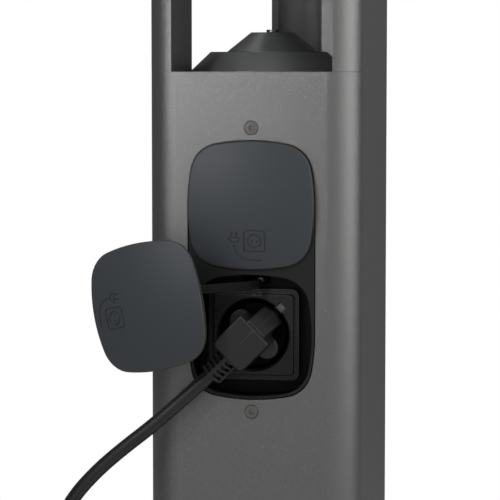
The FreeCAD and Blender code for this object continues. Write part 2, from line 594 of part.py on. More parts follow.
def make_socket(name, z):
    """An earthed socket whose pot is turned so that its earth clips lie on the diagonal."""
    place = at(0, number("-post_depth/2"), z)
    front = number("face_deep")
    step, floor = front + number("face_step"), front + number("frame_deep")
    half, face = number("frame_size/2"), number("face_size/2")
    deep, pot = front + number("pot_deep"), number("pot_radius")
    side, back = number("block_size/2"), deep + number("block_deep")
    flare, screw_long = number("pot_flare"), number("centre_screw_long")

    def corner(middle, edge):
        return edge.BoundBox.YLength > 1.5 and edge.BoundBox.XLength < 0.1

    frame = rounded(block((-half, half), (step, floor), (-half, half)), 4, corner)
    raised = rounded(block((-face, face), (front, floor), (-face, face)), 3, corner)
    raised = rounded(raised, number("face_round"), lambda middle, edge: middle.y < front + 0.1)
    cover = frame.fuse(raised)
    cover = cover.fuse(rod(number("pot_wall"), Vector(0, front + 2, 0), Vector(0, deep, 0)))
    cover = cover.cut(rod(pot, Vector(0, front - 1, 0), Vector(0, deep + 1, 0)))
    mouth = Part.makeCone(pot + flare, pot, flare, Vector(0, front, 0), Vector(0, 1, 0))
    cover = cover.cut(mouth)
    base = rod(number("pot_wall"), Vector(0, deep, 0), Vector(0, deep + 3, 0))
    base = base.fuse(block((-side, side), (deep + 2, back), (-side, side)))

    turn = Rotation(Vector(0, 1, 0), 45)
    sleeve_radius, sleeve_end = number("sleeve_radius"), deep + number("sleeve_long")
    wide, thick, circle = number("clip_width/2"), number("clip_thick"), number("clip_circle")
    clips, sleeves = [], []
    for sign in (1, -1):
        pin = turn.multVec(Vector(sign, 0, 0)) * number("pin_gap/2")
        start, end = pin + Vector(0, deep, 0), pin + Vector(0, sleeve_end, 0)
        base = base.cut(rod(sleeve_radius + 0.1, start - Vector(0, 1, 0), end + Vector(0, 1, 0)))
        bore = rod(number("sleeve_bore"), start - Vector(0, 1, 0), end + Vector(0, 1, 0))
        sleeves.append(rod(sleeve_radius, start, end).cut(bore))
        angle = 45 if sign > 0 else 225
        notch = block((-wide - 0.4, wide + 0.4), (front - 1, deep + 1), (circle - 0.4, circle + 5))
        notch.rotate(Vector(), Vector(0, 1, 0), angle)
        cover = cover.cut(notch)
        clip = block((-wide, wide), (front + number("clip_back"), deep), (circle, circle + thick))
        hook = block((-wide, wide), (front + number("clip_back"), front + number("clip_back") + thick), (circle, circle + 4))
        clip = clip.fuse(hook).removeSplitter()
        clip.rotate(Vector(), Vector(0, 1, 0), angle)
        clips.append(clip)
    hole = rod(number("screw_radius + 0.1"), Vector(0, deep - 1, 0), Vector(0, deep + screw_long + 1, 0))
    node(feature(f"{name}_cover", cover.removeSplitter(), place), f"{name}_socket_cover")
    node(feature(f"{name}_base", base.cut(hole).removeSplitter(), place), f"{name}_socket_base")
    node(feature(f"{name}_clips", Part.makeCompound(clips), place), f"{name}_earth_clips")
    node(feature(f"{name}_sleeves", Part.makeCompound(sleeves), place), f"{name}_contact_sleeves")
    screw = rod(number("screw_radius"), Vector(0, deep - 0.5, 0), Vector(0, deep + screw_long, 0))
    screw = screw.fuse(rod(number("screw_radius + 1.2"), Vector(0, deep - 1, 0), Vector(0, deep, 0)))
    cross = block((-1.8, 1.8), (deep - 2, deep - 0.5), (-0.35, 0.35))
    node(feature(f"{name}_screw", screw.cut(cross), place), f"{name}_socket_screw")


# ---------------------------------------------------------------- rubber caps
def cap_shape():
    """A domed cap with a lip behind it; its back is at y 0 and its middle at the origin."""
    crown, radius = number("cap_dome"), number("dome_radius")
    blank = bowed_prism(number("cap_half"), -crown, crown)
    ball = Part.makeSphere(radius, Vector(0, radius - crown, 0))
    cap = blank.common(ball)
    rim = [line for line in cap.Edges if line.BoundBox.YMax < -0.1 and line.Length > 5]
    cap = cap.makeFillet(1.2, rim)
    lip = bowed_prism(number("lip_half"), -0.5, number("lip_deep + 0.5"))
    lip = lip.cut(bowed_prism(number("lip_half - lip_thick"), 0, number("lip_deep + 1")))
    return cap.fuse(lip).cut(pictogram(cap)).removeSplitter()


def pictogram(cap):
    """Shallow engraved lines: a plug with its lead on the left of a round-pin socket."""
    line, deep = 0.9, 0.45
    crown = number("cap_dome")

    def bar(x, z):
        return block(x, (-crown - 1, 0), z)

    def ring(x, z, radius):
        outer = rod(radius, Vector(x, -crown - 1, z), Vector(x, 0, z))
        return outer.cut(rod(radius - line, Vector(x, -crown - 2, z), Vector(x, 1, z)))

    def frame(x, z, half, corner):
        outer = block((x - half, x + half), (-crown - 1, 0), (z - half, z + half))
        half -= line
        inner = block((x - half, x + half), (-crown - 2, 1), (z - half, z + half))
        along = lambda middle, edge: edge.BoundBox.YLength > 1
        return rounded(outer, corner, along).cut(rounded(inner, corner - line, along))

    socket_x, plug_x, up = 3, -8.6, -20
    marks = [frame(socket_x, up, 6.3, 1.8), ring(socket_x, up, 4.1)]
    for side in (-1, 1):
        dot, prong = socket_x + 1.6 * side, plug_x + 1.5 * side
        marks.append(rod(0.65, Vector(dot, -crown - 1, up), Vector(dot, 0, up)))
        marks.append(bar((prong - line / 2, prong + line / 2), (up + 2.2, up + 5)))
    marks.append(bar((plug_x - 3.1, plug_x + 3.1), (up + 1.3, up + 2.2)))
    cup = ring(plug_x, up + 1.6, 3.1)
    marks.append(cup.common(bar((plug_x - 4, plug_x + 4), (up - 3, up + 1.6))))
    sweep = ring(plug_x + 9, up - 2, 9.45)
    marks.append(sweep.common(bar((plug_x - 1, plug_x + 9), (up - 12, up - 2))))
    marks.append(bar((plug_x + 9, plug_x + 15), (up - 11.45, up - 10.55)))
    signs = marks[0].multiFuse(marks[1:])
    lowered = cap.copy()
    lowered.translate(Vector(0, deep, 0))
    return signs.common(cap).cut(lowered)


def bead_shape():
    half, high = number("bead_half"), number("bead_high")
    ring = bowed_prism(half, 2.2, high)
    return ring.cut(bowed_prism(number("lip_half"), 0, 10))


def ribbon(knees, thick, low, high):
    """A band that stands on edge and follows a bent line seen from above."""
    spots = [Vector(knee.x, knee.y, low) for knee in knees]
    runs = [(end - start).normalize() for start, end in zip(spots, spots[1:])]
    right, left = [], []
    for spot, before, after in zip(spots, runs[:1] + runs, runs + runs[-1:]):
        along = (before + after).normalize()
        across = Vector(along.y, -along.x, 0) * (thick / along.dot(before))
        right.append(spot + across)
        left.append(spot - across)
    border = right + left[::-1]
    return Part.Face(Part.makePolygon(border + border[:1])).extrude(Vector(0, 0, high - low))


def make_caps():
    face = number("-post_depth/2 - fascia_proud - cap_gap")
    up = number("module_up + socket_pitch/2")
    closed = at(0, face, up)
    node(feature("closed_cap", cap_shape(), closed), "upper_cap")
    node(feature("closed_bead", bead_shape(), closed), "upper_cap_seal")
    side, slot = number("slot_side"), number("slot_up")
    half, thick, long = number("strap_width/2"), number("strap_thick/2"), number("strap_long")
    slot -= number("tail_drop")
    tail = block((side - half, side + half), (0, long), (slot - thick, slot + thick))
    bulb = rod(number("bulb_radius"), Vector(side - half, long, slot), Vector(side + half, long, slot))
    pin = rod(number("rivet_radius"), Vector(side, long - 4, slot), Vector(side, long + 4, slot))
    strap = tail.fuse(bulb).cut(pin)
    node(feature("closed_strap", strap, closed), "upper_strap")
    node(feature("closed_rivet", pin, closed), "upper_strap_rivet")

    tip = Rotation(Vector(0, 0, 1), -number("open_tip"))
    turn = Rotation(Vector(0, 1, 0), number("open_turn"))
    middle = Vector(number("open_side"), number("open_out"), number("open_up"))
    opened = Placement(middle, tip.multiply(turn))
    node(feature("open_cap", cap_shape(), opened), "lower_cap")
    node(feature("open_bead", bead_shape(), opened), "lower_cap_seal")

    # the open cap hangs on its strap, which leaves the slot and bends round to the lip
    anchor = Vector(number("anchor_side"), number("-post_depth/2 + recess_deep + 1"),
                    number("module_up - socket_pitch/2 + anchor_up"))
    lip = opened.multVec(Vector(0, 1, number("lip_half") - 2.4))
    knees = [anchor + Vector(0, -2.5, 0), Vector(3.2, -68, 0), Vector(-0.5, -76, 0), Vector(-6, -83, 0),
             Vector(-12, -90, 0), Vector(-17.5, -97, 0), lip]
    low, high = anchor.z - 4.4, anchor.z + 0.4
    arm = ribbon(knees, thick, low, high)
    narrow = half - 0.6
    neck = block((anchor.x - narrow, anchor.x + narrow), (anchor.y - 4, anchor.y + 3),
                 (anchor.z - thick, anchor.z + thick))
    head = rod(number("bulb_radius"), anchor + Vector(-half, 4, 0), anchor + Vector(half, 4, 0))
    pin = rod(number("rivet_radius"), anchor + Vector(0, -5.2, 0), anchor + Vector(0, 7.5, 0))
    arm = arm.fuse(neck).fuse(head).cut(pin)
    node(feature("open_strap", arm), "lower_strap")
    node(feature("open_rivet", pin), "lower_strap_rivet")
    return opened


# ---------------------------------------------------------------- plug and lead
LEAD_ROUTE = [(-20.65, -81, 590.35), (-31, -81.4, 580.9), (-42, -82, 570.9), (-56, -83.4, 558.7),
              (-72, -84.8, 546.2), (-87, -86.4, 533), (-101, -88.2, 517), (-112, -90, 494),
              (-119, -91.5, 462), (-122.5, -92, 418), (-124, -91.5, 362), (-124.5, -90.5, 302),
              (-124.5, -89.5, 242), (-124, -88.5, 182), (-124.2, -87.6, 128), (-126.5, -87.3, 82),
              (-133, -87.1, 42), (-150, -87.4, 14), (-171, -87, 5.5)]
TAIL_ROUTE = [(-180, 3, 11.8), (-169, 3.2, 11.6), (-159, 6, 10.8), (-150, 9.3, 10.2),
              (-141.5, 11.3, 10), (-134, 12, 10)]


def slab(points, half):
    """A plate across X, from its outline in Y and Z."""
    corners = [Vector(-half, y, z) for y, z in points]
    return Part.Face(Part.makePolygon(corners + corners[:1])).extrude(Vector(2 * half, 0, 0))


def make_plug():
    """Built upright about the socket's axis, its lead leaving downwards, then turned 45 degrees."""
    place = at(0, -number("post_depth/2"), number("module_up - socket_pitch/2"), 45)
    front, rim = number("face_deep"), number("plug_radius")
    disc_front, disc_back = front + number("disc_deep"), front + number("pot_deep") - 1.5
    half, top, bottom = number("grip_half"), number("grip_top"), -number("grip_bottom")
    near, far = front - number("grip_front"), front - number("grip_back")
    seam, seam_high = number("seam_width/2"), number("seam_high")

    disc = rod(rim, Vector(0, disc_front, 0), Vector(0, disc_back, 0))
    disc = rounded(disc, 1, lambda middle, edge: True)
    groove, strip = number("clip_width/2 + 0.8"), rim - 1
    for limits in ((strip, strip + 5), (-strip - 5, -strip)):
        disc = disc.cut(block((-groove, groove), (disc_front - 1, disc_back + 1), limits))
    neck = rod(number("neck_radius"), Vector(0, front - 8, 0), Vector(0, disc_front + 1, 0))
    carrier_back, knob_side, bar = disc_back - 2, number("knob_side"), number("carrier_bar")
    carrier = block((-knob_side, knob_side), (disc_front + 1, carrier_back), (-bar, bar))
    for side in (-knob_side, knob_side):
        knob = rod(number("knob_radius"), Vector(side, front + 1, 0), Vector(side, carrier_back, 0))
        carrier = carrier.fuse(rounded(knob, 1, lambda middle, edge: middle.y < front + 1.1))
    grip = block((-half, half), (near, far + 1), (bottom, top))
    grip = rounded(grip, 2.6, lambda middle, edge: edge.BoundBox.YLength > 10 and middle.z < 0)
    grip = rounded(grip, 1, lambda middle, edge: edge.BoundBox.YLength > 10 and middle.z > top - 0.1)
    grip = rounded(grip, 1, lambda middle, edge: middle.y < near + 0.1)
    ridge = block((-seam, seam), (near - seam_high, near + 1), (-3, top - 1))

    width, high, low = number("bridge_half"), front - number("bridge_front"), front - number("bridge_end")
    sides = [(high, -4), (high, top + 1), (low, rim), (disc_front + 1, rim), (disc_front + 1, -4)]
    bridge = slab(sides, width)
    bridge = rounded(bridge, 1.2, lambda middle, edge: abs(middle.x) > width - 0.1 and middle.z > 0
                     and middle.y < low + 1)
    limit = rod(rim - 0.4, Vector(0, near - 1, 0), Vector(0, disc_front + 1, 0))
    line = slab([(y - seam_high, z) for y, z in sides[1:3]] + [(low + 1, rim), (high + 1, top + 1)], seam)
    body = disc.fuse([neck, bridge.fuse(line).common(limit), grip, ridge]).removeSplitter()
    carrier = carrier.cut(neck).removeSplitter()
    body = body.cut(carrier)

    reach, prong = number("pin_gap/2"), number("prong_radius")
    prongs, strips = [], []
    for sign in (1, -1):
        start = Vector(sign * reach, disc_back - 4, 0)
        end = Vector(sign * reach, disc_back + number("prong_long"), 0)
        prongs.append(rounded(rod(prong, start, end), 1.2, lambda middle, edge: middle.y > disc_back))
        body, carrier = body.cut(rod(prong, start, end)), carrier.cut(rod(prong, start, end))
        limits = (strip, strip + 0.6) if sign > 0 else (-strip - 0.6, -strip)
        strips.append(block((-2.2, 2.2), (disc_front + 2, disc_back - 0.5), limits))
    node(feature("plug_moulding", body, place), "plug_body")
    node(feature("plug_carrier", carrier, place), "plug_pin_carrier")
    node(feature("plug_prongs", Part.makeCompound(prongs), place), "plug_pins")
    node(feature("plug_strips", Part.makeCompound(strips), place), "plug_earth_strips")

    middle, long = front - number("plug_out"), number("relief_long")
    start, thick, thin = -number("relief_start"), number("relief_radius"), number("relief_end")
    sleeve = rod(thin, Vector(0, middle, start), Vector(0, middle, start - long))
    pitch, rib, spine = number("rib_pitch"), number("rib_thick"), number("spine_width/2")
    for count in range(5):
        low = start - number("rib_gap") - pitch * count
        ring = rod(thick, Vector(0, middle, low), Vector(0, middle, low - rib))
        sleeve = sleeve.fuse(rounded(ring, 0.4, lambda middle, edge: edge.Length > 20))
    last = start - number("rib_gap") - pitch * 4 - rib
    sleeve = sleeve.fuse(block((-spine, spine), (middle - thick - 0.2, middle + thick + 0.2),
                               (last, start - 0.01)))
    link = block((thick - number("link_thick"), thick + 0.3), (middle - 2, middle + 2), (last + 0.3, start - 0.7))
    sleeve = sleeve.fuse(rounded(link, 0.4, lambda middle, edge: True))
    node(feature("plug_relief", sleeve.removeSplitter(), place), "strain_relief")


def make_lead():
    radius = number("lead_radius")
    node(feature("lead_tube", tube("lead", LEAD_ROUTE, radius)), "lead_cord")
    side, back, middle = number("coil_side"), number("coil_back"), number("coil_middle")
    inner, outer = middle - number("coil_width/2"), middle + number("coil_width/2")
    low, high = Vector(side, back, 0.2), Vector(side, back, number("coil_height"))
    ring = rod(outer, low, high).cut(rod(inner, low - Vector(0, 0, 1), high + Vector(0, 0, 1)))
    ring = rounded(ring, 5, lambda middle, edge: edge.Length > 50)
    node(feature("lead_ring", ring), "lead_coil")
    node(feature("tail_tube", tube("tail", TAIL_ROUTE, radius)), "lead_tail")
    end = TAIL_ROUTE[-1]
    wide, high, long = number("outlet_width/2"), number("outlet_height"), number("outlet_long")
    case = block((end[0], end[0] + long), (end[1] - wide, end[1] + wide), (0.3, high + 0.3))
    case = rounded(case, 3, lambda middle, edge: edge.BoundBox.XLength > 20)
    boot = Part.makeCone(number("outlet_boot"), number("relief_end"), number("outlet_boot_long"),
                         Vector(*end), Vector(-1, 0, 0))
    case = case.fuse(boot)
    mouth = end[0] + long
    for side, lift in ((-7, 0), (0, 3), (7, 0)):
        middle = end[1] + side
        case = case.cut(block((mouth - 17, mouth + 1), (middle - 1.6, middle + 1.6), (6 + lift, 12 + lift)))
    node(feature("lead_outlet", case), "lead_connector")


# ---------------------------------------------------------------- wiring inside
def make_wiring():
    case = box("terminal_case", ("-42", "42"), ("-18", "22"), ("130", "250"))
    hollow = box("terminal_hollow", ("-39", "39"), ("-18", "19"), ("133", "247"))
    ports = [cylinder("lamp_port", "z", "20", "2", "246", "3.6", "5"),
             cylinder("module_port", "z", "-15", "2", "246", "3.6", "5"),
             cylinder("supply_port", "z", "0", "2", "129", "8", "5")]
    node(less("terminal_shell", case, hollow, *ports), "terminal_box")
    node(box("terminal_cover", ("-42", "42"), ("-21", "-18"), ("130", "250")), "terminal_box_lid")
    blocks = [box(f"terminal_{count}", (f"{10 * count - 25}", f"{10 * count - 16}"),
                  ("8", "19"), ("180", "205")) for count in range(5)]
    node(group("terminals", *blocks), "terminal_blocks")
    rail = box("rail_bar", ("-10", "10"), ("22", "25"), ("70", "700"))
    foot = box("rail_foot", ("-10", "10"), ("22", "post_depth/2 - wall - play - spigot_wall"), ("60", "63"))
    web = box("rail_web", ("-10", "10"), ("22", "25"), ("60", "70.5"))
    node(joined("rail_whole", rail, foot, web), "mounting_rail")


def main():
    sinks, holes = make_base()
    make_post(sinks, holes)
    make_lantern()
    make_head()
    make_module()
    for name, sign in (("upper", "+"), ("lower", "-")):
        make_socket(name, number(f"module_up {sign} socket_pitch/2"))
    make_caps()
    make_plug()
    make_lead()
    make_wiring()
    doc.recompute()

    faults = [thing.Name for thing in doc.Objects if {"Invalid", "Error"} & set(thing.State)]
    for thing in NODES:
        shape = thing.Shape
        if shape.isNull() or not shape.isValid() or shape.Volume < 1:
            faults.append(thing.Label)
    if faults:
        raise RuntimeError(f"these failed: {faults}")
    os.makedirs("parts", exist_ok=True)
    for thing in NODES:
        thing.Shape.exportStep(os.path.join("parts", f"{thing.Label}.step"))
    print(len(NODES), "nodes written")


main()
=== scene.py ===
import bpy
import bmesh
import json
import math
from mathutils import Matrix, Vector


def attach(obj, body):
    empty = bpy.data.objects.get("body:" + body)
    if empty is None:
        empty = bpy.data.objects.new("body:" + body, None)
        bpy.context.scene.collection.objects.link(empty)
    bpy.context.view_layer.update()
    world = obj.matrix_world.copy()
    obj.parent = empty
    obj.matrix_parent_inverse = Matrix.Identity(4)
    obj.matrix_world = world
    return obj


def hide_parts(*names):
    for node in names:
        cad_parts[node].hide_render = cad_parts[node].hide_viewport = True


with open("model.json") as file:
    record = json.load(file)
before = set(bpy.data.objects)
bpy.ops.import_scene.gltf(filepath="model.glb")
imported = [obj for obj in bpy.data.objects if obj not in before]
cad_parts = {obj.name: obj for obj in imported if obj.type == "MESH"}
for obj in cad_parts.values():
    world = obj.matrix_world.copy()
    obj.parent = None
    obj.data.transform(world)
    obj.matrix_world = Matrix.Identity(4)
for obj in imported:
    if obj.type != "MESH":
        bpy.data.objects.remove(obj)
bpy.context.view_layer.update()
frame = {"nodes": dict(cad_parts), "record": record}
nodes = frame["nodes"]
record = frame["record"]
print("frame loaded:", len(nodes), "nodes")

# camera: a long lens a little to the right of the post and above the sockets
cameraSetup = {"azimuth": 10.5, "elevation": 4.7, "distance": 1.333, "lens": 170,
               "target": (-0.0007, -0.070, 0.6597)}


def makeCamera(setup):
    turn, lift = math.radians(setup["azimuth"]), math.radians(setup["elevation"])
    back = Vector((math.sin(turn) * math.cos(lift), -math.cos(turn) * math.cos(lift), math.sin(lift)))
    data = bpy.data.cameras.new("camera")
    data.lens = setup["lens"]
    data.clip_start, data.clip_end = 0.05, 50
    camera = bpy.data.objects.new("camera", data)
    camera.location = Vector(setup["target"]) + back * setup["distance"]
    camera.rotation_euler = back.to_track_quat("Z", "Y").to_euler()
    bpy.context.scene.collection.objects.link(camera)
    bpy.context.scene.camera = camera


makeCamera(cameraSetup)
bpy.context.scene.view_settings.view_transform = "Standard"
print("camera set")


def link(piece):
    bpy.context.scene.collection.objects.link(piece)
    return piece


# a node tree with short ways to add and wire nodes
class Sheet:
    def __init__(self, tree):
        self.tree = tree

    def add(self, kind, values=None, **settings):
        node = self.tree.nodes.new(kind if kind.startswith("NodeGroup") else "ShaderNode" + kind)
        for key, value in settings.items():
            setattr(node, key, value)
        for key, value in (values or {}).items():
            node.inputs[key].default_value = value
        return node

    def wire(self, source, target):
        self.tree.links.new(source, target)

    def calc(self, kind, first, second, clamp=False):
        node = self.add("Math", operation=kind, use_clamp=clamp)
        for socket, value in zip(node.inputs, (first, second)):
            if isinstance(value, (int, float)):
                socket.default_value = value
            else:
                self.wire(value, socket)
        return node.outputs[0]


def newGroup(name, inputs, outputs):
    tree = bpy.data.node_groups.new(name, "ShaderNodeTree")
    for label, value in inputs.items():
        socket = tree.interface.new_socket(label, in_out="INPUT", socket_type="NodeSocketFloat")
        socket.default_value = value
    for label, kind in outputs.items():
        tree.interface.new_socket(label, in_out="OUTPUT", socket_type="NodeSocket" + kind)
    sheet = Sheet(tree)
    return sheet, sheet.add("NodeGroupInput"), sheet.add("NodeGroupOutput")


# fine cast or sprayed grain: a height and a scatter of bright flecks
def makeGrainGroup():
    sheet, given, result = newGroup("fineGrain", {"Scale": 900, "Softness": 0.5, "Flecks": 0.1},
                               {"Height": "Float", "Fleck": "Float"})
    place = sheet.add("TexCoord").outputs["Object"]
    noise = sheet.add("TexNoise", {"Detail": 3, "Roughness": 0.6})
    sheet.wire(place, noise.inputs["Vector"])
    sheet.wire(given.outputs["Scale"], noise.inputs["Scale"])
    cells = sheet.add("TexVoronoi", {"Randomness": 1})
    sheet.wire(place, cells.inputs["Vector"])
    sheet.wire(sheet.calc("MULTIPLY", given.outputs["Scale"], 1.6), cells.inputs["Scale"])
    pits = sheet.calc("MULTIPLY", cells.outputs["Distance"], given.outputs["Softness"])
    sheet.wire(sheet.calc("SUBTRACT", noise.outputs["Fac"], pits), result.inputs["Height"])
    pick = sheet.add("SeparateColor")
    sheet.wire(cells.outputs["Color"], pick.inputs["Color"])
    edge = sheet.calc("SUBTRACT", 1, given.outputs["Flecks"])
    bright = sheet.calc("GREATER_THAN", pick.outputs["Red"], edge)
    near = sheet.calc("LESS_THAN", cells.outputs["Distance"], 0.35)
    sheet.wire(sheet.calc("MULTIPLY", bright, near), result.inputs["Fleck"])
    return sheet.tree


# slow unevenness over a whole piece: handling, dust and spray
def makeBlotchGroup():
    sheet, given, result = newGroup("blotch", {"Scale": 20, "Contrast": 1}, {"Value": "Float"})
    place = sheet.add("TexCoord").outputs["Object"]
    noise = sheet.add("TexNoise", {"Detail": 5, "Roughness": 0.65})
    sheet.wire(place, noise.inputs["Vector"])
    sheet.wire(given.outputs["Scale"], noise.inputs["Scale"])
    centred = sheet.calc("SUBTRACT", noise.outputs["Fac"], 0.5)
    sheet.wire(sheet.calc("MULTIPLY", centred, given.outputs["Contrast"]), result.inputs["Value"])
    return sheet.tree


# rounded-looking edges, and a mask of where they are
def makeEdgeGroup():
    sheet, given, result = newGroup("softEdge", {"Radius": 0.0005, "Gain": 4},
                                    {"Normal": "Vector", "Mask": "Float"})
    bevel = sheet.add("Bevel", samples=4)
    sheet.wire(given.outputs["Radius"], bevel.inputs["Radius"])
    geometry = sheet.add("NewGeometry")
    dot = sheet.add("VectorMath", operation="DOT_PRODUCT")
    sheet.wire(bevel.outputs["Normal"], dot.inputs[0])
    sheet.wire(geometry.outputs["Normal"], dot.inputs[1])
    away = sheet.calc("SUBTRACT", 1, dot.outputs["Value"])
    sheet.wire(sheet.calc("MULTIPLY", away, given.outputs["Gain"], clamp=True), result.inputs["Mask"])
    sheet.wire(bevel.outputs["Normal"], result.inputs["Normal"])
    return sheet.tree


# which faces look along the sockets' axis, for pieces that are darker round their sides
def makeFacingGroup():
    sheet, given, result = newGroup("facing", {"Low": 0.45, "High": 0.75}, {"Mask": "Float"})
    split = sheet.add("SeparateXYZ")
    sheet.wire(sheet.add("TexCoord").outputs["Normal"], split.inputs["Vector"])
    along = sheet.calc("ABSOLUTE", split.outputs["Y"], 0)
    above = sheet.calc("SUBTRACT", along, given.outputs["Low"])
    span = sheet.calc("SUBTRACT", given.outputs["High"], given.outputs["Low"])
    sheet.wire(sheet.calc("DIVIDE", above, span, clamp=True), result.inputs["Mask"])
    return sheet.tree


# how far a face lies behind the post's front, where painted shade darkens the finish
def makeRecessShadeGroup():
    sheet, given, result = newGroup("recessShade", {"Start": -0.0695, "Depth": 0.004}, {"Mask": "Float"})
    split = sheet.add("SeparateXYZ")
    sheet.wire(sheet.add("TexCoord").outputs["Object"], split.inputs["Vector"])
    behind = sheet.calc("SUBTRACT", split.outputs["Y"], given.outputs["Start"])
    sheet.wire(sheet.calc("DIVIDE", behind, given.outputs["Depth"], clamp=True), result.inputs["Mask"])
    return sheet.tree


grainGroup, blotchGroup, edgeGroup = makeGrainGroup(), makeBlotchGroup(), makeEdgeGroup()
facingGroup, recessShadeGroup = makeFacingGroup(), makeRecessShadeGroup()
print("node groups made")
